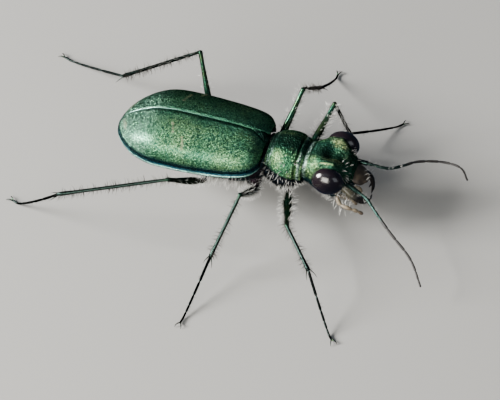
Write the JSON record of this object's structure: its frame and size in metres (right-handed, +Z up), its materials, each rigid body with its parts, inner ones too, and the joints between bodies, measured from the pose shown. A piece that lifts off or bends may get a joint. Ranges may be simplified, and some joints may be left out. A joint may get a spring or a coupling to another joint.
{
  "type": "tiger beetle",
  "caption": "Green tiger beetle standing on spread legs, long feelers forward, with ridged wing-case edges, bulging eyes and crossed sickle jaws; a still model.",
  "frame": {"origin": "on the floor, under the middle of the bounding box", "axes": "+X towards the head, +Y to the beetle's left, +Z up"},
  "size_m": [0.0272, 0.0232, 0.0056],
  "materials": {
    "wing_case": "metallic green, finely pitted",
    "cuticle": "brassy green metallic, finely wrinkled",
    "underside": "dark blue-green metallic",
    "leg": "dark bronze-green, shining",
    "eye": "dark brown, glossy",
    "ivory": "ivory, smooth",
    "jaw": "dark brown, smooth"
  },
  "bodies": {
    "root": {"thorax": "underside", "abdomen": "underside", "scutellum": "cuticle", "pronotum": "cuticle", "head": "cuticle", "labrum": "ivory", "wing_case_left": "wing_case", "eye_left": "eye", "mandible_left": "jaw", "palp_outer_left": "leg", "palp_inner_left": "ivory", "antenna_left_scape": "leg", "antenna_left_base": "leg", "antenna_left_whip": "leg", "wing_case_right": "wing_case", "eye_right": "eye", "mandible_right": "jaw", "palp_outer_right": "leg", "palp_inner_right": "ivory", "antenna_right_scape": "leg", "antenna_right_base": "leg", "antenna_right_whip": "leg", "coxa_front_left": "underside", "femur_front_left": "leg", "tibia_front_left": "leg", "tarsus_front_left": "leg", "coxa_front_right": "underside", "femur_front_right": "leg", "tibia_front_right": "leg", "tarsus_front_right": "leg", "coxa_middle_left": "underside", "femur_middle_left": "leg", "tibia_middle_left": "leg", "tarsus_middle_left": "leg", "coxa_middle_right": "underside", "femur_middle_right": "leg", "tibia_middle_right": "leg", "tarsus_middle_right": "leg", "coxa_hind_left": "underside", "femur_hind_left": "leg", "tibia_hind_left": "leg", "tarsus_hind_left": "leg", "coxa_hind_right": "underside", "femur_hind_right": "leg", "tibia_hind_right": "leg", "tarsus_hind_right": "leg"}
  },
  "joints": []
}
